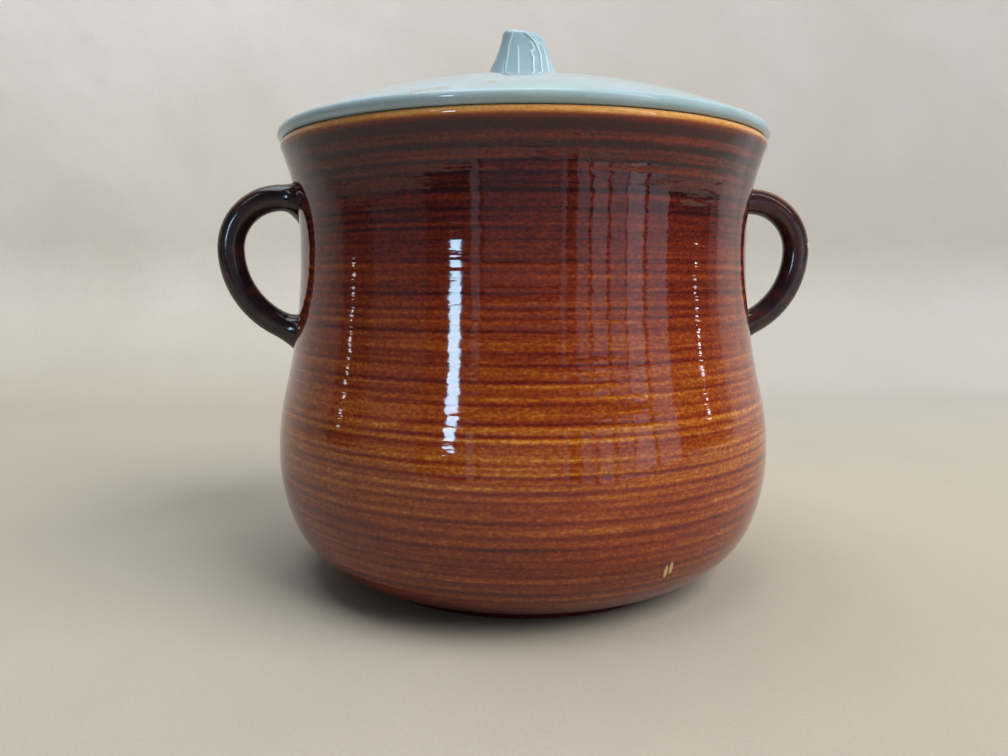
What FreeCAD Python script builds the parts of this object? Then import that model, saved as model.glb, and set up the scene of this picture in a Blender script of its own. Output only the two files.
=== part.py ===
import FreeCAD, Part
import math
import os

# Stoneware bean pot with two loop handles and a lift-off domed lid.
# Millimetres, +Z up. The origin is the centre of the foot on the table,
# the handles point along X.

# Driving dimensions: outside of the pot
foot_radius = 77.0
foot_ring_width = 8.0
foot_height = 3.4
foot_crook = 1.5
foot_soft = 0.8
belly_radius = 113.0
belly_level = 57.0
belly_lower_curve = 82.0
belly_lower_turn = 20.0
belly_upper_curve = 120.0
rim_level = 194.0
waist_draw = 11.8
waist_drop = 42.0
rim_flare = 7.3
lip_roll = 2.3

# Driving dimensions: inside of the pot
wall = 6.2
rim_width = 10.5
mouth_round = 2.5

# Driving dimensions: handles
handle_projection = 38.1
handle_tube = 12.0
handle_top_drop = 22.5
handle_upper_bend = 23.3
handle_lower_bend = 38.0
handle_lower_turn = 62.0
handle_root_inner = 15.0
handle_root_outer = 3.5
handle_root_side = 6.0
handle_root_power = 2.0

# Driving dimensions: lid
lid_overhang = 1.1
lid_edge = 5.2
lid_thickness = 5.5
dome_rise = 28.1
flange_depth = 7.0
flange_width = 5.0
flange_clearance = 1.5

# Driving dimensions: knob on the lid
knob_height = 24.6
knob_left_root = 19.0
knob_left_top = 9.0
knob_right_root = 17.6
knob_right_top = 8.7
knob_depth_root = 13.0
knob_depth_top = 7.0
knob_left_flare = 1.5
knob_right_flare = 0.85
knob_squareness = 2.6
knob_top_slope = 8.0
knob_peak_left = 5.4
knob_edge_round = 2.0
knob_bury = 3.3

# Radii and levels worked out from the dimensions
waist_radius = belly_radius - waist_draw
waist_level = rim_level - waist_drop
rim_radius = waist_radius + rim_flare
mouth_radius = rim_radius - rim_width
handle_top_level = rim_level - handle_top_drop
lid_radius = rim_radius + lid_overhang
lid_seat_level = rim_level
dome_level = lid_seat_level + dome_rise

# Sections through the lofted forms, and points round the knob's outline
root_sections = 6
knob_sections = 4
knob_outline_points = 16

# Side of the block that trims the top of the knob, in widths of the knob
trim_widths = 4.0

AXIS = FreeCAD.Vector(0, 0, 1)
CENTRE = FreeCAD.Vector(0, 0, 0)


def point(place):
    return FreeCAD.Vector(place[0], 0, place[1])


def line(a, b):
    return Part.LineSegment(point(a), point(b)).toShape()


def polar(centre, radius, degrees):
    """Point of a circle in the outline's plane."""
    angle = math.radians(degrees)
    return (centre[0] + radius * math.cos(angle), centre[1] + radius * math.sin(angle))


def arc(centre, radius, start, stop):
    """Arc of an outline between two angles in degrees."""
    ends = [polar(centre, radius, a) for a in (start, (start + stop) / 2, stop)]
    return Part.Arc(*[point(end) for end in ends]).toShape()


def bearing(centre, target):
    """Angle in degrees from one point of the outline's plane to another."""
    return math.degrees(math.atan2(target[1] - centre[1], target[0] - centre[0]))


def turned(edges):
    """Solid turned about the pot's axis from a closed outline."""
    return Part.Face(Part.Wire(edges)).revolve(CENTRE, AXIS, 360)


def wall_curves():
    """Circles of the wall as (centre, radius), each running tangent into the next.

    They are the base, the lower belly, the upper belly, the hollow above it,
    the flare under the lip and the rolled lip.
    """
    lower = (belly_radius - belly_lower_curve, belly_level)
    upper = (belly_radius - belly_upper_curve, belly_level)
    joint = polar(lower, belly_lower_curve, -belly_lower_turn)
    foot = foot_top()
    run = (foot[0] - joint[0], foot[1] - joint[1])
    turn = math.radians(belly_lower_turn)
    inward = (-math.cos(turn), math.sin(turn))
    along = run[0] * inward[0] + run[1] * inward[1]
    base_radius = (run[0] ** 2 + run[1] ** 2) / (2 * along)
    base = (joint[0] + base_radius * inward[0], joint[1] + base_radius * inward[1])
    swell = belly_radius - waist_radius
    rise = waist_level - belly_level
    hollow_radius = (swell ** 2 + rise ** 2) / (2 * swell) - belly_upper_curve
    hollow = (waist_radius + hollow_radius, waist_level)
    lip = (rim_radius - lip_roll, rim_level - lip_roll)
    gap = waist_radius - lip[0]
    throat = lip[1] - waist_level
    flare_radius = (gap ** 2 + throat ** 2 - lip_roll ** 2) / (2 * (lip_roll - gap))
    flare = (waist_radius + flare_radius, waist_level)
    return {
        "base": (base, base_radius),
        "lower": (lower, belly_lower_curve),
        "upper": (upper, belly_upper_curve),
        "hollow": (hollow, hollow_radius),
        "flare": (flare, flare_radius),
        "lip": (lip, lip_roll),
    }


def foot_top():
    return (foot_radius + foot_crook, foot_height)


def outer_wall():
    """Outside of the pot from the foot up to the flat land on the lip."""
    curves = wall_curves()
    base, base_radius = curves["base"]
    lower, lower_radius = curves["lower"]
    upper, upper_radius = curves["upper"]
    hollow, hollow_radius = curves["hollow"]
    flare, flare_radius = curves["flare"]
    lip, roll = curves["lip"]
    bend = bearing(upper, hollow)
    rise = bearing(lip, flare)
    return [
        arc(base, base_radius, bearing(base, foot_top()), -belly_lower_turn),
        arc(lower, lower_radius, -belly_lower_turn, 0),
        arc(upper, upper_radius, 0, bend),
        arc(hollow, hollow_radius, 180 + bend, 180),
        arc(flare, flare_radius, 180, 180 + rise),
        arc(lip, roll, rise, 90),
    ]


def inner_wall():
    """Inside of the pot from the land on the lip down to the flat floor."""
    curves = wall_curves()
    base, base_radius = curves["base"]
    lower, lower_radius = curves["lower"]
    upper, upper_radius = curves["upper"]
    hollow, hollow_radius = curves["hollow"]
    bend = bearing(upper, hollow)
    mouth = (mouth_radius + mouth_round, rim_level - mouth_round)
    neck = waist_radius - wall
    gap = mouth[0] - neck
    throat = mouth[1] - waist_level
    throat_radius = (gap ** 2 + throat ** 2 - mouth_round ** 2) / (2 * (gap - mouth_round))
    funnel = (neck + throat_radius, waist_level)
    lean = bearing(funnel, mouth)
    return [
        arc(mouth, mouth_round, 90, lean),
        arc(funnel, throat_radius, lean, 180),
        arc(hollow, hollow_radius + wall, 180, 180 + bend),
        arc(upper, upper_radius - wall, bend, 0),
        arc(lower, lower_radius - wall, 0, -belly_lower_turn),
        arc(base, base_radius - wall, -belly_lower_turn, -90),
    ]


def foot_ring():
    """Underside from the axis out to the start of the base curve."""
    inside = foot_radius - foot_ring_width
    crook = (inside - foot_crook, foot_height - foot_crook)
    outer_crook = (foot_radius + foot_crook, foot_height - foot_crook)
    left = (inside + foot_soft, foot_soft)
    right = (foot_radius - foot_soft, foot_soft)
    return [
        line((0, foot_height), (crook[0], foot_height)),
        arc(crook, foot_crook, 90, 0),
        line((inside, crook[1]), (inside, foot_soft)),
        arc(left, foot_soft, 180, 270),
        line((left[0], 0), (right[0], 0)),
        arc(right, foot_soft, 270, 360),
        line((foot_radius, foot_soft), (foot_radius, outer_crook[1])),
        arc(outer_crook, foot_crook, 180, 90),
    ]


def pot_body():
    """Thrown jar with an S-shaped wall, a rolled lip and a trimmed foot ring."""
    base, base_radius = wall_curves()["base"]
    floor = (base[0], base[1] - base_radius + wall)
    land = [line((rim_radius - lip_roll, rim_level), (mouth_radius + mouth_round, rim_level))]
    inside = [line(floor, (0, floor[1])), line((0, floor[1]), (0, foot_height))]
    return turned(foot_ring() + outer_wall() + land + inner_wall() + inside)


def pot_envelope():
    """The pot filled solid, to which the handle ends are coped."""
    foot = foot_top()
    land = (rim_radius - lip_roll, rim_level)
    close = [line(land, (0, rim_level)), line((0, rim_level), (0, foot[1])), line((0, foot[1]), foot)]
    return turned(outer_wall() + close)


def handle_root(start, along, across, length):
    """End of a limb, from the tube to the middle of the wall.

    It spreads with a hollow curve: most on the inside of the loop, where
    across points, less to the sides and least on the outside.
    """
    radius = handle_tube / 2
    sections = []
    for i in range(root_sections + 1):
        share = i / root_sections
        growth = share ** handle_root_power
        shift = growth * (handle_root_inner - handle_root_outer) / 2
        major = radius + growth * (handle_root_inner + handle_root_outer) / 2
        minor = radius + growth * handle_root_side
        x = start[0] + along[0] * length * share + across[0] * shift
        z = start[1] + along[1] * length * share + across[1] * shift
        ring = Part.Ellipse(CENTRE, major, minor).toShape()
        facing = FreeCAD.Rotation(point(across), FreeCAD.Vector(0, 1, 0), point(along), "XYZ")
        ring.Placement = FreeCAD.Placement(FreeCAD.Vector(x, 0, z), facing)
        sections.append(Part.Wire(ring))
    return Part.makeLoft(sections, True, False)


def handle_bend(centre, radius, start, stop):
    """Bent length of the tube: a disc turned about the centre of the bend."""
    place = polar(centre, radius, start)
    angle = math.radians(start)
    facing = FreeCAD.Vector(-math.sin(angle), 0, math.cos(angle))
    disc = Part.Face(Part.Wire(Part.makeCircle(handle_tube / 2, point(place), facing)))
    return disc.revolve(point(centre), FreeCAD.Vector(0, 1, 0), start - stop)


def handle(side):
    """Round pulled handle, coped to the wall where it spreads at both roots."""
    outermost = waist_radius + handle_projection - handle_tube / 2
    level = handle_top_level - handle_upper_bend
    upper = (outermost - handle_upper_bend, level)
    lower = (outermost - handle_lower_bend, level)
    buried = waist_radius - wall / 2
    turn = math.radians(handle_lower_turn)
    high_end = (upper[0], handle_top_level)
    low_end = polar(lower, handle_lower_bend, -handle_lower_turn)
    low_along = (-math.sin(turn), -math.cos(turn))
    low_across = (-math.cos(turn), math.sin(turn))
    low_length = (low_end[0] - buried) / math.sin(turn)
    pieces = [
        handle_root(high_end, (-1, 0), (0, -1), high_end[0] - buried),
        handle_bend(upper, handle_upper_bend, 90, 0),
        handle_bend(lower, handle_lower_bend, 0, -handle_lower_turn),
        handle_root(low_end, low_along, low_across, low_length),
    ]
    loop = pieces[0].fuse(pieces[1:]).cut(pot_envelope())
    if side < 0:
        loop.rotate(CENTRE, AXIS, 180)
    return loop


def dome():
    """Centre and radius of the dome that runs tangent into the rounded edge."""
    nose = lid_edge / 2
    reach = lid_radius - nose
    drop = dome_rise - nose
    radius = (reach ** 2 + drop ** 2 - nose ** 2) / (2 * (drop - nose))
    return (0, dome_level - radius), radius


def lid():
    """Domed lid with a rounded edge, a flat seat and a locating flange."""
    centre, radius = dome()
    nose = (lid_radius - lid_edge / 2, lid_seat_level + lid_edge / 2)
    lean = bearing(centre, nose)
    hollow = radius - lid_thickness
    outer = mouth_radius - flange_clearance
    inner = outer - flange_width
    soft = flange_width / 2
    foot = (outer - soft, lid_seat_level - flange_depth + soft)
    under = math.degrees(math.acos(inner / hollow))
    edges = [
        arc(centre, radius, 90, lean),
        arc(nose, lid_edge / 2, lean, -90),
        line((nose[0], lid_seat_level), (outer, lid_seat_level)),
        line((outer, lid_seat_level), (outer, foot[1])),
        arc(foot, soft, 0, -180),
        line((inner, foot[1]), polar(centre, hollow, under)),
        arc(centre, hollow, under, 90),
        line((0, dome_level - lid_thickness), (0, dome_level)),
    ]
    return turned(edges)


def knob_section(level):
    """Rounded outline of the pinched knob at one height."""
    rest = 1 - max(0.0, min(1.0, (level - dome_level) / knob_height))
    left = knob_left_top + (knob_left_root - knob_left_top) * rest ** knob_left_flare
    right = knob_right_top + (knob_right_root - knob_right_top) * rest ** knob_right_flare
    depth = knob_depth_top + (knob_depth_root - knob_depth_top) * rest ** knob_left_flare
    power = 2 / knob_squareness
    points = []
    for i in range(knob_outline_points):
        a = 2 * math.pi * i / knob_outline_points
        c = math.cos(a)
        s = math.sin(a)
        half = right if c > 0 else left
        x = half * math.copysign(abs(c) ** power, c)
        y = depth * math.copysign(abs(s) ** power, s)
        points.append(FreeCAD.Vector(x, y, level))
    curve = Part.BSplineCurve()
    curve.interpolate(points, PeriodicFlag=True)
    return Part.Wire(curve.toShape())


def lid_knob():
    """Pinched knob: it spreads into the dome on one side and its top slopes."""
    levels = [dome_level - knob_bury]
    levels += [dome_level + knob_height * i / knob_sections for i in range(knob_sections + 1)]
    levels.append(dome_level + knob_height + knob_edge_round)
    blank = Part.makeLoft([knob_section(level) for level in levels], True, False)
    size = trim_widths * (knob_left_root + knob_right_root)
    cutter = Part.makeBox(size, size, size, FreeCAD.Vector(-size / 2, -size / 2, 0))
    cutter.rotate(CENTRE, FreeCAD.Vector(0, 1, 0), knob_top_slope)
    fall = knob_peak_left * math.tan(math.radians(knob_top_slope))
    cutter.translate(FreeCAD.Vector(0, 0, dome_level + knob_height - fall))
    blank = blank.cut(cutter)
    top = max(blank.Faces, key=lambda face: face.CenterOfMass.z)
    blank = blank.makeFillet(knob_edge_round, top.Edges)
    return blank.cut(lid())


def main():
    os.makedirs("parts", exist_ok=True)
    pieces = {
        "pot_body": pot_body(),
        "handle_left": handle(-1),
        "handle_right": handle(1),
        "lid": lid(),
        "lid_knob": lid_knob(),
    }
    for name, shape in pieces.items():
        shape.exportStep("parts/" + name + ".step")
        print(name, len(shape.Solids), "solid", "valid" if shape.isValid() else "not valid")


main()
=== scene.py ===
import math

import bmesh
import bpy
import numpy as np
from mathutils import Euler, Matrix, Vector


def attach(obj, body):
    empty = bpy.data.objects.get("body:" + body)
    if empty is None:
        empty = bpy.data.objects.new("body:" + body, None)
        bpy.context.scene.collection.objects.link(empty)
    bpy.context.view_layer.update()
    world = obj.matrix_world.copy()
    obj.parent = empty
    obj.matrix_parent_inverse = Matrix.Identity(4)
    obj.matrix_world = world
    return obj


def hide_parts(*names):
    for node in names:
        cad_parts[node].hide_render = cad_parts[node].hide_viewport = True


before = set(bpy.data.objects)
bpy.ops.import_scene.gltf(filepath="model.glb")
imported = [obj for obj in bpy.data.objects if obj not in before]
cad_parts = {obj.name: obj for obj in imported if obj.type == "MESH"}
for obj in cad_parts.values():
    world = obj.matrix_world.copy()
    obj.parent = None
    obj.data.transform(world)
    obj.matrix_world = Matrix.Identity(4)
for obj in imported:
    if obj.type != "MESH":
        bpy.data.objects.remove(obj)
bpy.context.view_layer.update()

MM = 0.001

# Camera, as fitted to the photograph's outlines, with its angles in degrees
IMAGE_WIDTH = 1008
FOCAL_PIXELS = 830.0
SENSOR_WIDTH = 36.0
CLIP_START = 0.01
CAMERA_DISTANCE = 394.7 * MM
CAMERA_HEIGHT = 137.1 * MM
CAMERA_TILT = -7.13
CAMERA_TURN = 1.23
POT_TURN = 6.48

# Outline of the pot, as in the solids: lengths in metres, turns in degrees
FOOT_RADIUS = 77.0 * MM
FOOT_RING_WIDTH = 8.0 * MM
FOOT_HEIGHT = 3.4 * MM
FOOT_CROOK = 1.5 * MM
FOOT_SOFT = 0.8 * MM
BELLY_RADIUS = 113.0 * MM
BELLY_LEVEL = 57.0 * MM
BELLY_LOWER_CURVE = 82.0 * MM
BELLY_LOWER_TURN = 20.0
BELLY_UPPER_CURVE = 120.0 * MM
RIM_LEVEL = 194.0 * MM
WAIST_RADIUS = BELLY_RADIUS - 11.8 * MM
WAIST_LEVEL = RIM_LEVEL - 42.0 * MM
RIM_RADIUS = WAIST_RADIUS + 7.3 * MM
LIP_ROLL = 2.3 * MM
WALL = 6.2 * MM
MOUTH_RADIUS = RIM_RADIUS - 10.5 * MM
MOUTH_ROUND = 2.5 * MM

# Handles
HANDLE_PROJECTION = 38.1 * MM
HANDLE_TUBE = 12.0 * MM
HANDLE_TOP_LEVEL = RIM_LEVEL - 22.5 * MM
HANDLE_UPPER_BEND = 23.3 * MM
HANDLE_LOWER_BEND = 38.0 * MM
HANDLE_LOWER_TURN = 62.0
ROOT_INNER = 15.0 * MM
ROOT_OUTER = 3.5 * MM
ROOT_SIDE = 6.0 * MM
ROOT_SUNK = WALL / 3

# Lid
LID_RADIUS = RIM_RADIUS + 1.1 * MM
LID_EDGE = 5.2 * MM
LID_THICKNESS = 5.5 * MM
DOME_RISE = 28.1 * MM
FLANGE_DEPTH = 7.0 * MM
FLANGE_WIDTH = 5.0 * MM
FLANGE_CLEARANCE = 1.5 * MM
FLANGE_CROOK = 0.8 * MM
DOME_LEVEL = RIM_LEVEL + DOME_RISE

# Knob: half its width at the root, at the top, and the power of the curve between them
KNOB_LEFT = (19.0 * MM, 9.0 * MM, 1.5)
KNOB_RIGHT = (17.6 * MM, 8.7 * MM, 0.85)
KNOB_DEPTH = (13.0 * MM, 7.0 * MM, 1.5)
KNOB_HEIGHT = 24.6 * MM
KNOB_SQUARENESS = 2.6
KNOB_TOP_SLOPE = 8.0
KNOB_PEAK_LEFT = 5.4 * MM
KNOB_EDGE_ROUND = 2.4 * MM
KNOB_SUNK = 0.8 * MM

# Folds down the front of the knob, where the clay was pinched together. Each is a line of
# (height, X) in mm, how much it stands out, and the height in mm where it has faded away.
# Heights count from a level on a knob of the nominal height.
FOLD_LEVEL = 7.5
FOLD_NOMINAL_HEIGHT = 24.0
FOLD_FADE = 1.5
FOLD_MOST = 1.2
FOLDS = [
    (((-7.5, -17.0), (0.0, -14.4), (3.0, -12.0)), 0.7, 3.5),
    (((-7.5, -9.6), (0.0, -8.4), (9.0, -6.8), (16.0, -4.6)), 0.6, 30.0),
    (((-7.5, -3.0), (9.7, -3.0)), 0.7, 9.0),
    (((-7.5, 4.5), (0.7, 3.6), (4.0, 4.0), (6.2, 2.9), (8.1, 4.1), (10.0, 3.6), (12.7, 1.8)),
     FOLD_MOST, 12.0),
    (((-7.5, 8.0), (0.0, 7.5), (6.0, 7.1), (9.8, 5.8), (13.3, 3.3), (16.3, -1.5)), FOLD_MOST, 30.0),
    (((-7.5, 12.0), (0.0, 10.6), (5.0, 9.9), (9.0, 8.8), (12.0, 7.3)), 1.1, 12.5),
]
FOLD_HEIGHT = 0.50 * MM
FOLD_HALF_WIDTH = 0.33 * MM
SWELL_HEIGHT = 0.12 * MM
SWELL_HALF_WIDTH = 1.7 * MM
FOLD_ROOM = FOLD_HEIGHT + SWELL_HEIGHT
FOLD_ROOM_AT_SIDES = 0.2 * FOLD_ROOM
FOLD_REACH_INTO_EDGE = 0.6

# Meshes: points around each piece, and their spacing along its outline
COLUMNS = 160
HANDLE_AROUND = 48
KNOB_AROUND = 380
KNOB_SAMPLES = 1441
KNOB_ROWS = 40
KNOB_EDGE_ROWS = 11
KNOB_TOP_RINGS = (0.75, 0.5, 0.25)
TINY_STEP = 0.3 * MM
CROOK_STEP = 0.4 * MM
FINE_STEP = 0.45 * MM
MOUTH_STEP = 0.5 * MM
FLANGE_STEP = 0.6 * MM
LAND_STEP = 0.8 * MM
HANDLE_STEP = 0.8 * MM
DOME_STEP = 1.2 * MM
FLAT_STEP = 2.0 * MM
HOLLOW_STEP = 3.0 * MM
INSIDE_STEP = 4.0 * MM
FLOOR_STEP = 6.0 * MM
UNDER_STEP = 8.0 * MM

# Where the points next to the axis lie: a radius, and two angles of the dome in degrees
HUB_RADIUS = 4.0 * MM
DOME_START = 89.2
HOLLOW_START = 89.0

# Turned rings: heights of the grooves that stand out most, of the raised ones, and of the
# raised band below the lip. Faint ones drawn at random lie between them.
RING_LEVELS = [v * MM for v in (
    16.6, 20.4, 25.0, 28.8, 32.4, 35.1, 39.8, 44.6, 50.0, 54.0, 57.4, 60.8, 66.3, 71.1,
    77.5, 80.5, 84.7, 91.6, 94.9, 99.2, 105.0, 109.3, 116.9, 121.2, 124.8, 130.2, 137.9,
    141.8, 149.2, 153.4, 159.9, 166.4, 172.0, 176.0, 181.3)]
RIDGE_LEVELS = [v * MM for v in (72.6, 78.9, 82.7, 119.8, 127.0, 139.7)]
BAND_LEVEL = 183.9 * MM
RING_SEED = 11
FAINT_LOWEST = 10 * MM
FAINT_HIGHEST = RIM_LEVEL - 16 * MM
FAINT_GAPS = (2.6, 5.0)
FAINT_STRENGTH = 0.30
FAINT_WIDTH = 0.79
RING_WIDTHS = (0.75, 1.15)
RING_FORCES = (0.55, 1.0)
RING_FADE = 0.5
RING_WANDER = 0.10 * MM
RING_RIPPLE = 0.04 * MM

# Depths are in this unit, and half widths of a groove in its own width
RING_DEPTH = 0.040 * MM
GROOVE_HALF_WIDTH = 1.3
LINE_HALF_WIDTH = 1 / 1.1
CREST_OFFSET = 1.8
CREST_HALF_WIDTH = 0.9
CREST_FADE = 0.35
CREST_ABOVE = 0.6
RIDGE_HEIGHT = 1.1
RIDGE_CREST = 0.7
RIDGE_HALF_WIDTH = 1.1 * MM
BAND_HEIGHT = 1.2
BAND_HALF_WIDTH = 1.3 * MM

# Where the rings fade out, next to the foot and the lip
RINGS_FROM_FOOT = 4 * MM
RINGS_HIGHEST = RIM_LEVEL - 6 * MM
RINGS_FADE_HEIGHT = 2 * MM
INSET_HIGHEST = RIM_LEVEL - 4 * MM

# Marks seen in the photograph: centre and half sizes
LID_STAINS = [
    ((-46.0 * MM, -95.6 * MM, 198.8 * MM), (5.0 * MM, 3.0 * MM, 3.0 * MM)),
    ((-39.0 * MM, -97.0 * MM, 200.0 * MM), (4.0 * MM, 3.0 * MM, 3.0 * MM)),
    ((-21.5 * MM, -96.5 * MM, 203.0 * MM), (2.0 * MM, 3.0 * MM, 2.0 * MM)),
]
POT_SCRATCHES = [
    ((43.9 * MM, -97.2 * MM, 25.4 * MM), (1.0 * MM, 3.0 * MM, 4.6 * MM)),
    ((46.0 * MM, -96.6 * MM, 26.8 * MM), (0.9 * MM, 3.0 * MM, 4.2 * MM)),
]
HANDLE_CHIP = ((138.4 * MM, -3.0 * MM, 151.0 * MM), (1.6 * MM, 1.8 * MM, 2.0 * MM))
SPOT_EDGE = 0.6
SPOT_SOFTNESS = 0.35

# Handle glaze thins along the outer edge, most of all above a level
THIN_HALF_ANGLE = 0.75
THIN_LEVEL = 135 * MM
THIN_FADE_HEIGHT = 25 * MM
THIN_LEAST = 0.15

# Brown glaze: tone by height, as a share of the rim's level, and tone to colour
GLAZE_IOR = 1.5
BROWN_TONES = [
    (0.000, 0.32),
    (0.080, 0.52),
    (0.160, 0.61),
    (0.240, 0.65),
    (0.330, 0.69),
    (0.430, 0.72),
    (0.520, 0.67),
    (0.600, 0.57),
    (0.700, 0.48),
    (0.780, 0.35),
    (0.860, 0.28),
    (0.925, 0.24),
    (0.938, 0.14),
    (0.947, 0.33),
    (0.953, 0.30),
    (0.959, 0.09),
    (0.972, 0.10),
    (0.975, 0.22),
    (0.980, 0.42),
    (0.984, 0.64),
    (0.988, 0.80),
    (0.993, 0.87),
]
BROWN_COLOURS = [
    (0.00, (0.012, 0.0022, 0.0024)),
    (0.18, (0.040, 0.0046, 0.0042)),
    (0.38, (0.100, 0.0118, 0.0060)),
    (0.55, (0.170, 0.0232, 0.0065)),
    (0.70, (0.252, 0.0500, 0.0070)),
    (0.84, (0.350, 0.1010, 0.0120)),
    (1.00, (0.540, 0.2350, 0.0450)),
]
# Lip: amber where the glaze thins over the roll, lightened further with painted light against the lid's
# shade and for highlights.
LIP_AMBER_AND_PAINTED_LIGHT = [
    (0.5, (0.220, 0.0560, 0.0100)),
    (0.8, (0.520, 0.2300, 0.0560)),
    (1.0, (0.780, 0.4500, 0.1700)),
]
LAND_COLOURS = [
    (0.30, (0.200, 0.0600, 0.0120)),
    (0.70, (0.430, 0.1900, 0.0480)),
]
SCRATCH_COLOUR = (0.50, 0.36, 0.16)

# Brush marks: noise cells per metre along X, Y and Z, detail, and the most each changes the tone
BRUSH_LAYERS = [
    ((620, 620, 1000), 2.0, 0.15),
    ((90, 90, 850), 2.0, 0.07),
    ((9, 9, 700), 3.0, 0.10),
    ((6, 6, 260), 2.0, 0.07),
    ((26, 26, 60), 2.0, 0.06),
]
BRUSH_ROUGH = 0.55
BRUSH_SWAY = 0.7 * MM
CREST_LIGHTER = 0.17
LINE_DARKER = 0.34

# From and to which level the brush marks calm down, the lip lightens and the land's colours begin
CALM_LEVELS = (0.955 * RIM_LEVEL, 0.962 * RIM_LEVEL)
CALM_SHARE = 0.45
LIP_LEVELS = (0.981 * RIM_LEVEL, 0.9885 * RIM_LEVEL)
LAND_LEVELS = (RIM_LEVEL - 0.4 * MM, RIM_LEVEL - 0.05 * MM)
LAND_SHARE = 0.85

# Stage: the floor's near end, the table's edge, where the backdrop starts to rise, and its bend
STAGE_NEAR = -2.6
TABLE_EDGE = -0.62
BACKDROP_START = 0.46
BACKDROP_BEND = 0.18
BACKDROP_TOP = 2.4
BEND_STEPS = 12
STAGE_HALF_WIDTH = 3.2

# Light that comes from all sides, and what the camera sees where the stage ends
ROOM_COLOUR = (1.0, 1.0, 1.0, 1.0)
ROOM_STRENGTH = 0.085
PALE_COLOUR = (0.60, 0.59, 0.57, 1.0)

# Lamps aim at a point above the middle of the floor. Azimuth 0 is behind the camera and
# positive to its right. Azimuth and elevation are in degrees, and the rest is in metres.
LAMP_TARGET = (0, 0, 110 * MM)
COOL = (0.84, 0.88, 1.0)
LAMPS = [
    # name, azimuth, elevation, distance, width, height, radiance, colour, what it lights
    ("key", 60, 43, 4.0, 3.25, 2.75, 7.6, (1.0, 0.975, 0.94), "matt"),
    ("ceiling", -60, 84, 2.2, 1.6, 1.6, 3.9, (0.90, 0.95, 1.0), "both"),
    ("window", -31, 11.4, 4.0, 0.36, 0.94, 24, (0.50, 0.76, 1.0), "gloss"),
    ("left_wall", -60, 0, 3.0, 1.6, 1.6, 0.14, COOL, "gloss"),
    ("far_right", 112, 3, 1.2, 0.6, 0.7, 0.18, COOL, "both"),
    # An uneven wall on the right, mirrored in the glaze
    ("right_wall_19", 19, -2, 3.0, 0.12, 1.6, 0.55, COOL, "both"),
    ("right_wall_28", 28, -2, 3.0, 0.30, 1.6, 0.70, COOL, "both"),
    ("right_wall_36", 36, -2, 3.0, 0.36, 1.6, 1.00, COOL, "both"),
    ("right_wall_45", 45, -2, 3.0, 0.40, 1.6, 0.85, COOL, "both"),
    ("right_wall_54", 54, -2, 3.0, 0.46, 1.6, 1.50, COOL, "both"),
    ("right_wall_66", 66, -2, 3.0, 0.60, 1.6, 1.05, COOL, "both"),
    ("front_wall", 0, -6, 3.0, 1.9, 1.6, 0.24, COOL, "gloss"),
    ("narrow_left", -21.5, -2, 3.0, 0.20, 1.6, 0.6, COOL, "both"),
    ("strip_right", 60, 46, 3.0, 0.16, 2.6, 8, (1.0, 0.98, 0.95), "gloss"),
    ("strip_left", -44, 44, 3.0, 0.10, 1.0, 9, COOL, "gloss"),
]

# Small glints down both sides: azimuth and radiance, then elevation and height of each
GLINT_SIDES = [(-88, 9), (91, 15)]
GLINTS = [(6.0, 0.07), (10.4, 0.09), (14.4, 0.08)]
GLINT_DISTANCE = 3.0
GLINT_WIDTH = 0.09
WHITE = (1, 1, 1)


def make_camera():
    data = bpy.data.cameras.new("camera")
    data.sensor_width = SENSOR_WIDTH
    data.lens = FOCAL_PIXELS / IMAGE_WIDTH * data.sensor_width
    data.clip_start = CLIP_START
    camera = bpy.data.objects.new("camera", data)
    bpy.context.scene.collection.objects.link(camera)
    turn = math.radians(POT_TURN)
    camera.location = (-CAMERA_DISTANCE * math.sin(turn), -CAMERA_DISTANCE * math.cos(turn), CAMERA_HEIGHT)
    heading = math.radians(POT_TURN - CAMERA_TURN)
    camera.rotation_euler = Euler((math.radians(90 + CAMERA_TILT), 0, -heading))
    bpy.context.scene.camera = camera


# Outlines in the (radius, height) plane

def polar(centre, radius, degrees):
    angle = math.radians(degrees)
    return (centre[0] + radius * math.cos(angle), centre[1] + radius * math.sin(angle))


def bearing(centre, target):
    return math.degrees(math.atan2(target[1] - centre[1], target[0] - centre[0]))


def arc(centre, radius, start, stop, step):
    """Points of an arc, about step apart, without the last one."""
    length = radius * abs(math.radians(stop - start))
    count = max(2, int(math.ceil(length / step)))
    return [polar(centre, radius, start + (stop - start) * i / count) for i in range(count)]


def run(a, b, step):
    """Points of a straight line, about step apart, without the last one."""
    count = max(1, int(math.ceil(math.dist(a, b) / step)))
    return [(a[0] + (b[0] - a[0]) * i / count, a[1] + (b[1] - a[1]) * i / count) for i in range(count)]


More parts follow.
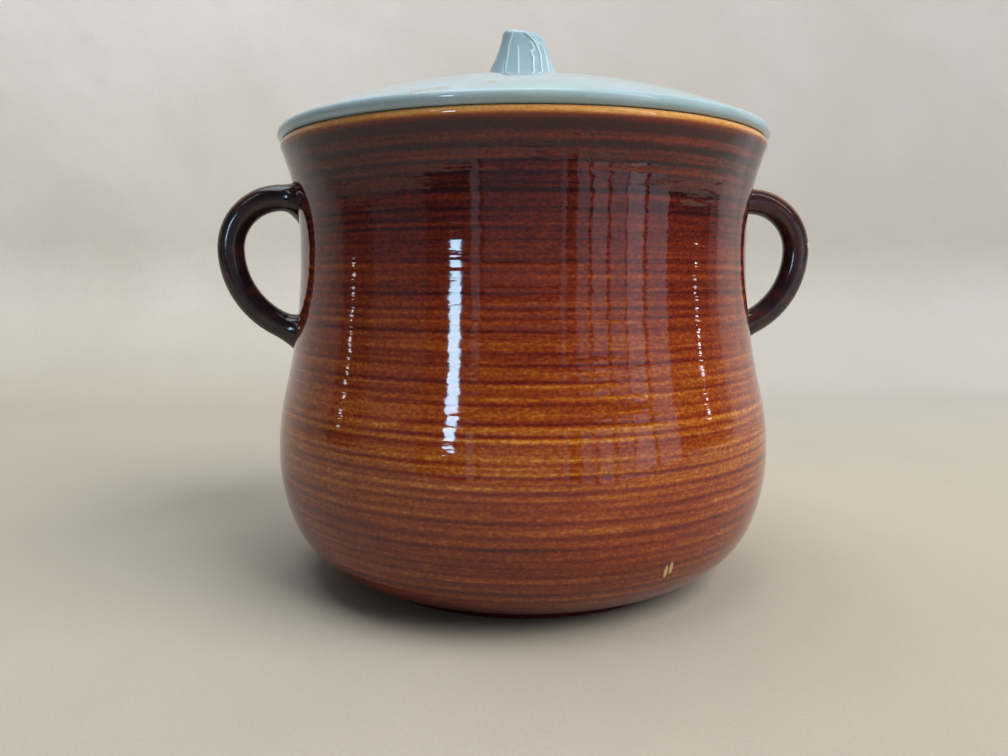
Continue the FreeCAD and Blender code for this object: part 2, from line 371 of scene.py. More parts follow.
def wall_curves():
    """Where the wall leaves the foot, then its circles as (centre, radius).

    Each circle runs tangent into the next.
    """
    lower = (BELLY_RADIUS - BELLY_LOWER_CURVE, BELLY_LEVEL)
    upper = (BELLY_RADIUS - BELLY_UPPER_CURVE, BELLY_LEVEL)
    joint = polar(lower, BELLY_LOWER_CURVE, -BELLY_LOWER_TURN)
    foot = (FOOT_RADIUS + FOOT_CROOK, FOOT_HEIGHT)
    away = (foot[0] - joint[0], foot[1] - joint[1])
    turn = math.radians(BELLY_LOWER_TURN)
    inward = (-math.cos(turn), math.sin(turn))
    along = away[0] * inward[0] + away[1] * inward[1]
    base_radius = (away[0] ** 2 + away[1] ** 2) / (2 * along)
    base = (joint[0] + base_radius * inward[0], joint[1] + base_radius * inward[1])
    swell = BELLY_RADIUS - WAIST_RADIUS
    rise = WAIST_LEVEL - BELLY_LEVEL
    hollow_radius = (swell ** 2 + rise ** 2) / (2 * swell) - BELLY_UPPER_CURVE
    hollow = (WAIST_RADIUS + hollow_radius, WAIST_LEVEL)
    lip = (RIM_RADIUS - LIP_ROLL, RIM_LEVEL - LIP_ROLL)
    gap = WAIST_RADIUS - lip[0]
    throat = lip[1] - WAIST_LEVEL
    flare_radius = (gap ** 2 + throat ** 2 - LIP_ROLL ** 2) / (2 * (LIP_ROLL - gap))
    flare = (WAIST_RADIUS + flare_radius, WAIST_LEVEL)
    return (foot, (base, base_radius), (lower, BELLY_LOWER_CURVE), (upper, BELLY_UPPER_CURVE),
            (hollow, hollow_radius), (flare, flare_radius), (lip, LIP_ROLL))


def pot_outline():
    """Whole outline of the pot from the underside round to the floor inside.

    Returns the points and, for each, the name of its zone.
    """
    foot, base, lower, upper, hollow, flare, lip = wall_curves()
    bend = bearing(upper[0], hollow[0])
    rise = bearing(lip[0], flare[0])
    inside = FOOT_RADIUS - FOOT_RING_WIDTH
    crook = (inside - FOOT_CROOK, FOOT_HEIGHT - FOOT_CROOK)
    outer_crook = (foot[0], FOOT_HEIGHT - FOOT_CROOK)
    left = (inside + FOOT_SOFT, FOOT_SOFT)
    right = (FOOT_RADIUS - FOOT_SOFT, FOOT_SOFT)
    mouth = (MOUTH_RADIUS + MOUTH_ROUND, RIM_LEVEL - MOUTH_ROUND)
    neck = WAIST_RADIUS - WALL
    gap = mouth[0] - neck
    throat = mouth[1] - WAIST_LEVEL
    throat_radius = (gap ** 2 + throat ** 2 - MOUTH_ROUND ** 2) / (2 * (gap - MOUTH_ROUND))
    funnel = (neck + throat_radius, WAIST_LEVEL)
    lean = bearing(funnel, mouth)
    floor = (base[0][0], base[0][1] - base[1] + WALL)
    parts = [
        ("under", [(0.0, FOOT_HEIGHT)]),
        ("under", run((HUB_RADIUS, FOOT_HEIGHT), (crook[0], FOOT_HEIGHT), UNDER_STEP)),
        ("under", arc(crook, FOOT_CROOK, 90, 0, TINY_STEP)),
        ("foot", run((inside, crook[1]), (inside, FOOT_SOFT), TINY_STEP)),
        ("foot", arc(left, FOOT_SOFT, 180, 270, TINY_STEP)),
        ("foot", run((left[0], 0.0), (right[0], 0.0), FLAT_STEP)),
        ("outer", arc(right, FOOT_SOFT, 270, 360, TINY_STEP)),
        ("outer", run((FOOT_RADIUS, FOOT_SOFT), (FOOT_RADIUS, outer_crook[1]), TINY_STEP)),
        ("outer", arc(outer_crook, FOOT_CROOK, 180, 90, TINY_STEP)),
        ("outer", arc(base[0], base[1], bearing(base[0], foot), -BELLY_LOWER_TURN, FINE_STEP)),
        ("outer", arc(lower[0], lower[1], -BELLY_LOWER_TURN, 0, FINE_STEP)),
        ("outer", arc(upper[0], upper[1], 0, bend, FINE_STEP)),
        ("outer", arc(hollow[0], hollow[1], 180 + bend, 180, FINE_STEP)),
        ("outer", arc(flare[0], flare[1], 180, 180 + rise, FINE_STEP)),
        ("outer", arc(lip[0], lip[1], rise, 90, TINY_STEP)),
        ("outer", run((lip[0][0], RIM_LEVEL), (mouth[0], RIM_LEVEL), LAND_STEP)),
        ("inner", arc(mouth, MOUTH_ROUND, 90, lean, MOUTH_STEP)),
        ("inner", arc(funnel, throat_radius, lean, 180, INSIDE_STEP)),
        ("inner", arc(hollow[0], hollow[1] + WALL, 180, 180 + bend, INSIDE_STEP)),
        ("inner", arc(upper[0], upper[1] - WALL, bend, 0, INSIDE_STEP)),
        ("inner", arc(lower[0], lower[1] - WALL, 0, -BELLY_LOWER_TURN, INSIDE_STEP)),
        ("inner", arc(base[0], base[1] - WALL, -BELLY_LOWER_TURN, -90, INSIDE_STEP)),
        ("inner", run(floor, (HUB_RADIUS, floor[1]), FLOOR_STEP)),
        ("inner", [(0.0, floor[1])]),
    ]
    points, zones = [], []
    for zone, stretch in parts:
        points += stretch
        zones += [zone] * len(stretch)
    return np.array(points), np.array(zones)


def dome_circle():
    """Circle of the dome as (centre, radius), tangent to the lid's rounded edge."""
    nose_radius = LID_EDGE / 2
    reach = LID_RADIUS - nose_radius
    drop = DOME_RISE - nose_radius
    radius = (reach ** 2 + drop ** 2 - nose_radius ** 2) / (2 * (drop - nose_radius))
    return (0.0, DOME_LEVEL - radius), radius


def lid_outline():
    """Outline of the lid from the top of the dome round to its underside."""
    centre, radius = dome_circle()
    nose_radius = LID_EDGE / 2
    nose = (LID_RADIUS - nose_radius, RIM_LEVEL + nose_radius)
    lean = bearing(centre, nose)
    hollow = radius - LID_THICKNESS
    outer = MOUTH_RADIUS - FLANGE_CLEARANCE
    inner = outer - FLANGE_WIDTH
    soft = FLANGE_WIDTH / 2
    foot = (outer - soft, RIM_LEVEL - FLANGE_DEPTH + soft)
    under = math.degrees(math.acos(inner / hollow))
    crook = (outer + FLANGE_CROOK, RIM_LEVEL - FLANGE_CROOK)
    points = [(0.0, DOME_LEVEL)] + arc(centre, radius, DOME_START, lean, DOME_STEP)
    points += arc(nose, nose_radius, lean, -90, TINY_STEP)
    points += run((nose[0], RIM_LEVEL), (crook[0], RIM_LEVEL), FLAT_STEP)
    points += arc(crook, FLANGE_CROOK, 90, 180, CROOK_STEP)
    points += run((outer, crook[1]), (outer, foot[1]), FLAT_STEP)
    points += arc(foot, soft, 0, -180, FLANGE_STEP)
    points += run((inner, foot[1]), polar(centre, hollow, under), FLAT_STEP)
    points += arc(centre, hollow, under, HOLLOW_START, HOLLOW_STEP)
    return np.array(points + [(0.0, DOME_LEVEL - LID_THICKNESS)])


# Meshes

def band_faces(rows, around):
    """Quads between rows of points that go around a piece, and the points' indices by row."""
    index = np.arange(rows * around).reshape(rows, around)
    a, b = index[:-1], index[1:]
    quads = np.stack([a, np.roll(a, -1, 1), np.roll(b, -1, 1), b], 2).reshape(-1, 4)
    return quads.tolist(), index


def ring_edges(ring):
    """Each point of a ring with the next one."""
    return zip(ring.tolist(), np.roll(ring, -1).tolist())


def new_mesh(name, points, faces):
    mesh = bpy.data.meshes.new(name)
    mesh.from_pydata(points.tolist(), [], faces)
    return mesh


def lathe(name, outline, sunk=0.0):
    """Closed mesh turned about Z, from an outline that starts and ends on the axis.

    sunk is how far each point lies behind the outline: one number, or by row and column.
    """
    before = np.vstack([outline[:1], outline[:-1]])
    after = np.vstack([outline[1:], outline[-1:]])
    along = after - before
    along /= np.maximum(np.linalg.norm(along, axis=1, keepdims=True), 1e-9)
    out_r, out_z = along[:, 1:], -along[:, :1]
    angles = np.arange(COLUMNS) * 2 * math.pi / COLUMNS
    r = outline[:, :1] - out_r * sunk
    z = outline[:, 1:] - out_z * sunk
    grid = np.stack([r * np.cos(angles), r * np.sin(angles), z + 0 * angles], 2)[1:-1]
    first = grid.shape[0] * COLUMNS
    last = first + 1
    points = np.vstack([grid.reshape(-1, 3), [[0, 0, outline[0, 1]]], [[0, 0, outline[-1, 1]]]])
    faces, index = band_faces(len(grid), COLUMNS)
    faces += [[first, b, a] for a, b in ring_edges(index[0])]
    faces += [[last, a, b] for a, b in ring_edges(index[-1])]
    mesh = new_mesh(name, points, faces)
    mesh.update()
    return mesh


def add_field(mesh, name, values):
    """Number on each point of a mesh, which its material reads."""
    layer = mesh.attributes.new(name, "FLOAT", "POINT")
    layer.data.foreach_set("value", np.asarray(values, np.float32))


def finish_mesh(mesh, body, replaced):
    """Object for a mesh: smooth, normals outward, riding on its body in place of a node."""
    work = bmesh.new()
    work.from_mesh(mesh)
    bmesh.ops.recalc_face_normals(work, faces=work.faces)
    work.to_mesh(mesh)
    work.free()
    mesh.polygons.foreach_set("use_smooth", [True] * len(mesh.polygons))
    obj = bpy.data.objects.new(mesh.name, mesh)
    bpy.context.scene.collection.objects.link(obj)
    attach(obj, body)
    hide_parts(replaced)
    return obj


# Shader building blocks

class Nodes:
    """Short hand for building one material's node tree."""

    def __init__(self, name):
        self.material = bpy.data.materials.new(name)
        self.material.use_nodes = True
        self.tree = self.material.node_tree
        self.tree.nodes.clear()
        self.shader = self.node("ShaderNodeBsdfPrincipled")
        out = self.node("ShaderNodeOutputMaterial")
        self.link(self.shader.outputs[0], out.inputs["Surface"])
        self.place = self.node("ShaderNodeTexCoord").outputs["Object"]

    def node(self, kind, **values):
        made = self.tree.nodes.new(kind)
        for key, value in values.items():
            setattr(made, key, value)
        return made

    def link(self, source, target):
        self.tree.links.new(source, target)

    def feed(self, socket, value):
        if isinstance(value, bpy.types.NodeSocket):
            self.link(value, socket)
        else:
            socket.default_value = value

    def maths(self, operation, a, b, clamp=False):
        made = self.node("ShaderNodeMath", operation=operation, use_clamp=clamp)
        self.feed(made.inputs[0], a)
        self.feed(made.inputs[1], b)
        return made.outputs[0]

    def stretch(self, scale, source=None):
        made = self.node("ShaderNodeMapping")
        self.link(source or self.place, made.inputs["Vector"])
        made.inputs["Scale"].default_value = scale
        return made.outputs[0]

    def noise(self, scale, detail, rough=0.5, source=None):
        """Noise in 0 to 1 with scale cells per metre along X, Y and Z."""
        made = self.node("ShaderNodeTexNoise")
        made.inputs["Scale"].default_value = 1.0
        made.inputs["Detail"].default_value = detail
        made.inputs["Roughness"].default_value = rough
        self.link(self.stretch(scale, source), made.inputs["Vector"])
        return made.outputs["Fac"]

    def span(self, value, low, high, out_low=0.0, out_high=1.0, smooth=True):
        made = self.node("ShaderNodeMapRange")
        if smooth:
            made.interpolation_type = "SMOOTHSTEP"
        self.feed(made.inputs["Value"], value)
        made.inputs["From Min"].default_value = low
        made.inputs["From Max"].default_value = high
        made.inputs["To Min"].default_value = out_low
        made.inputs["To Max"].default_value = out_high
        return made.outputs["Result"]

    def spread(self, noise, low, high, smooth=False):
        """The usual range of a noise spread over low to high."""
        return self.span(noise, 0.3, 0.7, low, high, smooth)

    def ramp(self, value, stops):
        made = self.node("ShaderNodeValToRGB")
        made.color_ramp.interpolation = "LINEAR"
        marks = made.color_ramp.elements
        while len(marks) < len(stops):
            marks.new(0.5)
        for mark, (place, colour) in zip(marks, stops):
            mark.position = place
            mark.color = tuple(colour) + (1.0,)
        self.feed(made.inputs["Fac"], value)
        return made.outputs["Color"]

    def mix(self, share, a, b):
        made = self.node("ShaderNodeMix", data_type="RGBA")
        self.feed(made.inputs[0], share)
        for socket, value in ((made.inputs[6], a), (made.inputs[7], b)):
            if isinstance(value, bpy.types.NodeSocket):
                self.link(value, socket)
            else:
                socket.default_value = tuple(value) + (1.0,)
        return made.outputs[2]

    def axes(self):
        """X, Y and Z of the place on the object."""
        made = self.node("ShaderNodeSeparateXYZ")
        self.link(self.place, made.inputs[0])
        return made.outputs["X"], made.outputs["Y"], made.outputs["Z"]

    def attribute(self, name):
        return self.node("ShaderNodeAttribute", attribute_name=name).outputs["Fac"]

    def spot(self, centre, size, ragged):
        """1 inside a blob with a ragged edge, with half sizes along X, Y and Z."""
        shift = self.node("ShaderNodeMapping", vector_type="POINT")
        self.link(self.place, shift.inputs["Vector"])
        shift.inputs["Location"].default_value = [-c / s for c, s in zip(centre, size)]
        shift.inputs["Scale"].default_value = [1 / s for s in size]
        length = self.node("ShaderNodeVectorMath", operation="LENGTH")
        self.link(shift.outputs[0], length.inputs[0])
        edge = self.maths("MULTIPLY", self.noise((900, 900, 900), 3.0), ragged)
        start = SPOT_EDGE + ragged / 2
        away = self.maths("ADD", length.outputs["Value"], edge)
        return self.span(away, start, start + SPOT_SOFTNESS, 1.0, 0.0)

    def bump(self, height, distance, strength, after=None):
        made = self.node("ShaderNodeBump")
        made.inputs["Distance"].default_value = distance
        made.inputs["Strength"].default_value = strength
        self.link(height, made.inputs["Height"])
        if after is not None:
            self.link(after, made.inputs["Normal"])
        return made.outputs["Normal"]

    def set(self, **values):
        for key, value in values.items():
            self.feed(self.shader.inputs[key.replace("_", " ")], value)


def grey(levels):
    return [(place, (value,) * 3) for place, value in levels]


def brown_glaze():
    """Brushed brown glaze: amber crests and dark lines, maroon above and orange below."""
    m = Nodes("brown_glaze")
    x, y, z = m.axes()
    sway = m.maths("SUBTRACT", m.noise((9, 9, 6), detail=1.0), 0.5)
    swayed = m.maths("ADD", z, m.maths("MULTIPLY", sway, BRUSH_SWAY))
    combine = m.node("ShaderNodeCombineXYZ")
    for name, value in (("X", x), ("Y", y), ("Z", swayed)):
        m.link(value, combine.inputs[name])
    tone = m.ramp(m.maths("DIVIDE", z, RIM_LEVEL), grey(BROWN_TONES))
    texture = None
    for scale, detail, reach in BRUSH_LAYERS:
        noise = m.noise(scale, detail, BRUSH_ROUGH, combine.outputs[0])
        part = m.span(noise, 0.25, 0.75, -reach, reach, smooth=False)
        texture = part if texture is None else m.maths("ADD", texture, part)
    texture = m.maths("ADD", texture, m.maths("MULTIPLY", m.attribute("crest"), CREST_LIGHTER))
    texture = m.maths("SUBTRACT", texture, m.maths("MULTIPLY", m.attribute("line"), LINE_DARKER))
    calm = m.span(z, *CALM_LEVELS, 1.0, CALM_SHARE)
    tone = m.maths("ADD", tone, m.maths("MULTIPLY", texture, calm), clamp=True)
    colour = m.ramp(tone, BROWN_COLOURS)
    # Lip lightened: thinner glaze plus painted light that offsets the lid's shade and stands for
    # highlights.
    colour = m.mix(m.span(z, *LIP_LEVELS), colour, m.ramp(tone, LIP_AMBER_AND_PAINTED_LIGHT))
    mottle = m.noise((160, 160, 160), detail=3.0, rough=0.6)
    land = m.span(z, *LAND_LEVELS, 0.0, LAND_SHARE)
    colour = m.mix(land, colour, m.ramp(mottle, LAND_COLOURS))
    for centre, size in POT_SCRATCHES:
        colour = m.mix(m.spot(centre, size, ragged=0.5), colour, SCRATCH_COLOUR)
    m.set(Base_Color=colour, IOR=GLAZE_IOR)
    m.set(Roughness=m.spread(m.noise((60, 60, 400), detail=2.0), 0.03, 0.07))
    relief = m.bump(texture, 0.03 * MM, 0.30)
    wander = m.bump(m.noise((55, 55, 230), detail=2.0), 0.34 * MM, 0.5, relief)
    m.set(Normal=m.bump(m.noise((150, 150, 200), detail=2.0), 0.04 * MM, 0.30, wander))
    return m.material


def dark_glaze():
    """Handle glaze: almost black, reddish brown in patches and where it thins."""
    m = Nodes("dark_glaze")
    colour = m.ramp(m.noise((70, 70, 110), detail=3.0, rough=0.6), [
        (0.30, (0.0100, 0.0060, 0.0100)),
        (0.50, (0.0200, 0.0095, 0.0135)),
        (0.64, (0.0480, 0.0160, 0.0170)),
        (0.80, (0.1000, 0.0300, 0.0170)),
    ])
    patches = m.span(m.noise((90, 90, 90), detail=3.0), 0.30, 0.60)
    thin = m.maths("MULTIPLY", m.attribute("thin"), patches)
    colour = m.mix(m.maths("MULTIPLY", thin, 0.7), colour, (0.26, 0.100, 0.038))
    speck = m.span(m.noise((800, 800, 800), detail=2.0), 0.70, 0.76)
    colour = m.mix(m.maths("MULTIPLY", speck, 0.35), colour, (0.10, 0.05, 0.03))
    colour = m.mix(m.spot(*HANDLE_CHIP, ragged=1.4), colour, (0.62, 0.54, 0.44))
    m.set(Base_Color=colour, IOR=GLAZE_IOR)
    m.set(Roughness=m.spread(m.noise((300, 300, 300), detail=2.0), 0.10, 0.18))
    m.set(Normal=m.bump(m.noise((150, 150, 150), detail=2.0), 0.08 * MM, 0.35))
    return m.material


def aqua_glaze():
    """Pale grey-blue glaze: faint mottling, a few small stains, folds paler and painted as highlights."""
    m = Nodes("aqua_glaze")
    colour = m.ramp(m.noise((55, 55, 55), detail=4.0, rough=0.6), [
        (0.30, (0.280, 0.410, 0.468)),
        (0.52, (0.308, 0.440, 0.508)),
        (0.74, (0.350, 0.476, 0.545)),
    ])
    green = m.span(m.noise((22, 22, 22), detail=2.0), 0.45, 0.70)
    colour = m.mix(m.maths("MULTIPLY", green, 0.35), colour, (0.290, 0.410, 0.395))
    speck = m.span(m.noise((700, 700, 700), detail=2.0), 0.70, 0.76)
    colour = m.mix(m.maths("MULTIPLY", speck, 0.45), colour, (0.20, 0.16, 0.10))
    for centre, size in LID_STAINS:
        stain = m.maths("MULTIPLY", m.spot(centre, size, ragged=2.6), 0.65)
        colour = m.mix(stain, colour, (0.33, 0.25, 0.15))
    # Folds painted pale: partly thinner glaze over the ridges, partly painted highlight lines.
    colour = m.mix(m.maths("MULTIPLY", m.attribute("fold_sheen"), 0.95), colour, (0.74, 0.86, 0.92))
    m.set(Base_Color=colour, IOR=GLAZE_IOR)
    m.set(Roughness=m.spread(m.noise((120, 120, 120), detail=2.0), 0.06, 0.12))
    m.set(Normal=m.bump(m.noise((90, 90, 90), detail=2.0), 0.10 * MM, 0.3))
    return m.material


def bare_clay():
    """Unglazed buff stoneware on the foot."""
    m = Nodes("bare_clay")
    grain = m.noise((900, 900, 900), detail=4.0, rough=0.65)
    colour = m.ramp(grain, [
        (0.30, (0.26, 0.19, 0.13)),
        (0.55, (0.40, 0.31, 0.22)),
        (0.75, (0.50, 0.41, 0.30)),
    ])
    m.set(Base_Color=colour, Roughness=0.85)
    m.set(Normal=m.bump(grain, 0.15 * MM, 0.6))
    return m.material


# Pieces

def hump(distance, half_width=1.0):
    """Bell curve: 1 where the distance is 0, and about a third at the half width."""
    return np.exp(-(distance / half_width) ** 2)


def swing(low, high, turns):
    """Value that swings between low and high as a sine does."""
    return (low + high) / 2 + (high - low) / 2 * np.sin(turns)


def ring_fields(outline, zones):
    """Turned rings on the outside, by row and column of the mesh.

    Returns the depth, in RING_DEPTH and below 0 where a ring is raised, then how dark a
    line and how amber a crest it is, 0 to 1.
    """
    random = np.random.default_rng(RING_SEED)
    angles = np.arange(COLUMNS) * 2 * math.pi / COLUMNS
    z = outline[:, 1:]
    depth = np.zeros((len(outline), COLUMNS))
    line = depth.copy()
    crest = depth.copy()
    rings = [(level, 1.0, 1.0) for level in RING_LEVELS]
    level = FAINT_LOWEST
    while level < FAINT_HIGHEST:
        rings.append((level, FAINT_STRENGTH, FAINT_WIDTH))
        level += random.uniform(*FAINT_GAPS) * MM
    for level, strength, wide in rings:
        width = random.uniform(*RING_WIDTHS) * MM * wide
        force = strength * random.uniform(*RING_FORCES)
        waves = random.integers(1, 4, 2)
        phase = random.uniform(0, 2 * math.pi, 4)
        centre = level + RING_WANDER * np.sin(waves[0] * angles + phase[0])
        centre = centre + RING_RIPPLE * np.sin((waves[1] + 4) * angles + phase[1])
        fade = swing(RING_FADE, 1.0, (waves[1] + 2) * angles + phase[2])
        away = z - centre
        depth = np.maximum(depth, force * fade * hump(away, GROOVE_HALF_WIDTH * width))
        line = np.maximum(line, force * fade * hump(away, LINE_HALF_WIDTH * width))
        side = 1.0 if random.uniform() < CREST_ABOVE else -1.0
        beside = hump(away - side * CREST_OFFSET * width, CREST_HALF_WIDTH * width)
        glow = swing(CREST_FADE, 1.0, waves[0] * 3 * angles + phase[3])
        crest = np.maximum(crest, force * glow * beside)
    for level in RIDGE_LEVELS:
        ridge = hump(z - level, RIDGE_HALF_WIDTH)
        depth -= RIDGE_HEIGHT * ridge
        crest = np.maximum(crest, RIDGE_CREST * ridge)
        line = line * (1 - ridge)
    band = hump(z - BAND_LEVEL, BAND_HALF_WIDTH)
    depth = depth * (1 - band) - BAND_HEIGHT * band
    from_foot = outline[:, :1] - FOOT_RADIUS - RINGS_FROM_FOOT
    mask = (zones == "outer")[:, None] * np.clip(from_foot / RINGS_FROM_FOOT, 0, 1)
    mask = mask * np.clip((RINGS_HIGHEST - z) / RINGS_FADE_HEIGHT, 0, 1)
    return depth * mask, line * mask, crest * mask


def make_pot():
    """Jar with its turned rings. The wall lies back far enough to leave room for the ridges."""
    outline, zones = pot_outline()
    depth, line, crest = ring_fields(outline, zones)
    ringed = (outline[:, 0] > FOOT_RADIUS + RINGS_FROM_FOOT) & (outline[:, 1] < INSET_HIGHEST)
    inset = -RING_DEPTH * depth.min() * (ringed & (zones == "outer"))
    mesh = lathe("pot_glazed", outline, inset[:, None] + RING_DEPTH * depth)
    for name, field in (("line", line), ("crest", crest)):
        add_field(mesh, name, np.concatenate([field[1:-1].ravel(), [0.0, 0.0]]))
    pot = finish_mesh(mesh, "pot", "pot_body")
    pot.data.materials.append(brown_glaze())
    pot.data.materials.append(aqua_glaze())
    pot.data.materials.append(bare_clay())
    slots = {"outer": 0, "under": 0, "inner": 1, "foot": 2}
    kinds = [slots[zone] for zone in zones[1:-2]] + [slots["under"], slots["inner"]]
    mesh.polygons.foreach_set("material_index", np.repeat(kinds, COLUMNS).tolist())


def make_lid():
    mesh = lathe("lid_glazed", lid_outline())
    lid = finish_mesh(mesh, "lid", "lid")
    lid.data.materials.append(aqua_glaze())


def handle_route():
    """Places down one loop in the X, Z plane, and how far each is into a root, 0 to 1.

    The share is negative in the lower root.
    """
    outermost = WAIST_RADIUS + HANDLE_PROJECTION - HANDLE_TUBE / 2
    level = HANDLE_TOP_LEVEL - HANDLE_UPPER_BEND
    upper = (outermost - HANDLE_UPPER_BEND, level)
    lower = (outermost - HANDLE_LOWER_BEND, level)
    buried = WAIST_RADIUS - WALL / 2
    top = run((buried, HANDLE_TOP_LEVEL), (upper[0], HANDLE_TOP_LEVEL), HANDLE_STEP)
    bends = arc(upper, HANDLE_UPPER_BEND, 90, 0, HANDLE_STEP)
    bends += arc(lower, HANDLE_LOWER_BEND, 0, -HANDLE_LOWER_TURN, HANDLE_STEP)
    end = polar(lower, HANDLE_LOWER_BEND, -HANDLE_LOWER_TURN)
    turn = math.radians(HANDLE_LOWER_TURN)
    foot = (buried, end[1] - (end[0] - buried) / math.tan(turn))
    low = run(end, foot, HANDLE_STEP) + [foot]
    shares = list(np.linspace(1, 0, len(top), endpoint=False)) + [0.0] * len(bends)
    shares += list(-np.linspace(0, 1, len(low)))
    return np.array(top + bends + low), np.array(shares)


def pot_radius(outline, zones, z):
    """Radius of the outside of the pot at the heights z."""
    r, level = outline[zones == "outer"].T
    order = np.argsort(level)
    return np.interp(z, level[order], r[order])


def make_handle(name, side):
    """One loop: a round tube whose roots spread and go into the wall. side is -1 or 1."""
    places, shares = handle_route()
    outline, zones = pot_outline()
    along = np.gradient(places, axis=0)
    along /= np.linalg.norm(along, axis=1, keepdims=True)
    growth = shares ** 2
    major = HANDLE_TUBE / 2 + growth * (ROOT_INNER + ROOT_OUTER) / 2
    minor = HANDLE_TUBE / 2 + growth * ROOT_SIDE
    shift = growth * (ROOT_INNER - ROOT_OUTER) / 2
    turns = np.arange(HANDLE_AROUND) * 2 * math.pi / HANDLE_AROUND
    inward = np.stack([along[:, 1], -along[:, 0]], 1)
    reach = shift[:, None] + major[:, None] * np.cos(turns)
    x = places[:, :1] + inward[:, :1] * reach
    z = places[:, 1:] + inward[:, 1:] * reach
    y = minor[:, None] * np.sin(turns)
    sunk = pot_radius(outline, zones, z) - ROOT_SUNK
    x = np.maximum(x, np.sqrt(np.maximum(sunk ** 2 - y ** 2, 0)))
    grid = np.stack([side * x, side * y, z], 2).reshape(-1, 3)
    faces, index = band_faces(len(places), HANDLE_AROUND)
    faces += [index[0].tolist()[::-1], index[-1].tolist()]
    mesh = new_mesh(name + "_glazed", grid, faces)
    ridge = np.exp(-((turns - math.pi) / THIN_HALF_ANGLE) ** 4)
    high = np.clip((places[:, 1] - THIN_LEVEL) / THIN_FADE_HEIGHT, THIN_LEAST, 1)
    add_field(mesh, "thin", (ridge * high[:, None]).ravel())
    handle = finish_mesh(mesh, "pot", name)
    handle.data.materials.append(dark_glaze())


def knob_half(sizes, share):
    """Half a width of the knob at one share of its height."""
    root, top, power = sizes
    return top + (root - top) * (1 - share) ** power


def knob_folds(share):
    """The folds at one share of the knob's height as (X, strength)."""
    height = FOLD_NOMINAL_HEIGHT * share - FOLD_LEVEL
    folds = []
    for line, strength, end in FOLDS:
        levels, places = zip(*line)
        x = float(np.interp(height, levels, places))
        folds.append((x * MM, strength * float(np.clip((end - height) / FOLD_FADE, 0, 1))))
    return folds


def knob_section(share, inset=0.0):
    """Section of the knob at one share of its height: X, Y and how much is fold, 0 to 1.

    It is a superellipse with the folds raised, set in by inset where the edge is rounded.
    """
    left = knob_half(KNOB_LEFT, share) - inset - FOLD_ROOM_AT_SIDES
    right = knob_half(KNOB_RIGHT, share) - inset - FOLD_ROOM_AT_SIDES
    depth = knob_half(KNOB_DEPTH, share) - inset - FOLD_ROOM
    turns = np.linspace(0, 2 * math.pi, KNOB_SAMPLES)
    power = 2 / KNOB_SQUARENESS
    x = np.sign(np.cos(turns)) * np.abs(np.cos(turns)) ** power
    y = np.sign(np.sin(turns)) * np.abs(np.sin(turns)) ** power * depth
    x = np.where(x < 0, x * left, x * right)
    lengths = np.concatenate([[0], np.cumsum(np.hypot(np.diff(x), np.diff(y)))])
    walk = np.linspace(0, lengths[-1], KNOB_AROUND, endpoint=False)
    x, y = np.interp(walk, lengths, x), np.interp(walk, lengths, y)
    along_x, along_y = np.roll(x, -1) - np.roll(x, 1), np.roll(y, -1) - np.roll(y, 1)
    size = np.hypot(along_x, along_y)
    rise = np.zeros(KNOB_AROUND)
    swell = np.zeros(KNOB_AROUND)
    for place, strength in knob_folds(share):
        start = np.argmin(np.where(y < 0, np.abs(x - place), 1.0))
        away = np.abs(walk - walk[start])
        away = np.minimum(away, lengths[-1] - away)
        rise = np.maximum(rise, strength * hump(away, FOLD_HALF_WIDTH) / FOLD_MOST)
        swell = np.maximum(swell, strength * hump(away, SWELL_HALF_WIDTH) / FOLD_MOST)
    fade = max(0.0, 1 - inset / (FOLD_REACH_INTO_EDGE * KNOB_EDGE_ROUND))
    out = fade * (FOLD_HEIGHT * rise + SWELL_HEIGHT * swell)
    return x + along_y / size * out, y - along_x / size * out, fade * rise


def make_knob():
    """Pinched knob: rings from the dome up, rounded over into the sloping top."""
    centre, radius = dome_circle()
    slope = math.tan(math.radians(KNOB_TOP_SLOPE))
    rings, folds = [], []

    def dome_height(x, y):
        return centre[1] + np.sqrt(radius ** 2 - x ** 2 - y ** 2)

    def top_height(x):
        return DOME_LEVEL + KNOB_HEIGHT - slope * (x + KNOB_PEAK_LEFT)

    def add_ring(share, inset=0.0, sunk=0.0):
        x, y, fold_sheen = knob_section(share, inset)
        z = dome_height(x, y) * (1 - share) + top_height(x) * share - sunk
        rings.append(np.stack([x, y, z], 1))
        folds.append(fold_sheen)

    add_ring(0.0, sunk=KNOB_SUNK)
    body = 1 - KNOB_EDGE_ROUND / KNOB_HEIGHT
    for share in np.linspace(0, body, KNOB_ROWS):
        add_ring(share)
    for angle in np.linspace(0, math.pi / 2, KNOB_EDGE_ROWS)[1:]:
        add_ring(body + (1 - body) * math.sin(angle), KNOB_EDGE_ROUND * (1 - math.cos(angle)))
    x, y, _ = knob_section(1.0, KNOB_EDGE_ROUND)
    for shrink in KNOB_TOP_RINGS:
        rings.append(np.stack([x * shrink, y * shrink, top_height(x * shrink)], 1))
        folds.append(np.zeros(KNOB_AROUND))
    points = np.vstack(rings + [[[0, 0, top_height(0.0)]]])
    faces, index = band_faces(len(rings), KNOB_AROUND)
    top = len(points) - 1
    faces += [[a, b, top] for a, b in ring_edges(index[-1])]
    faces += [index[0].tolist()[::-1]]
    mesh = new_mesh("knob_glazed", points, faces)
    # How much is fold, which the glaze paints pale: thinner glaze and painted highlight lines.
    add_field(mesh, "fold_sheen", np.concatenate(folds + [[0.0]]))
    knob = finish_mesh(mesh, "lid", "lid_knob")
    knob.data.materials.append(aqua_glaze())


# Surroundings

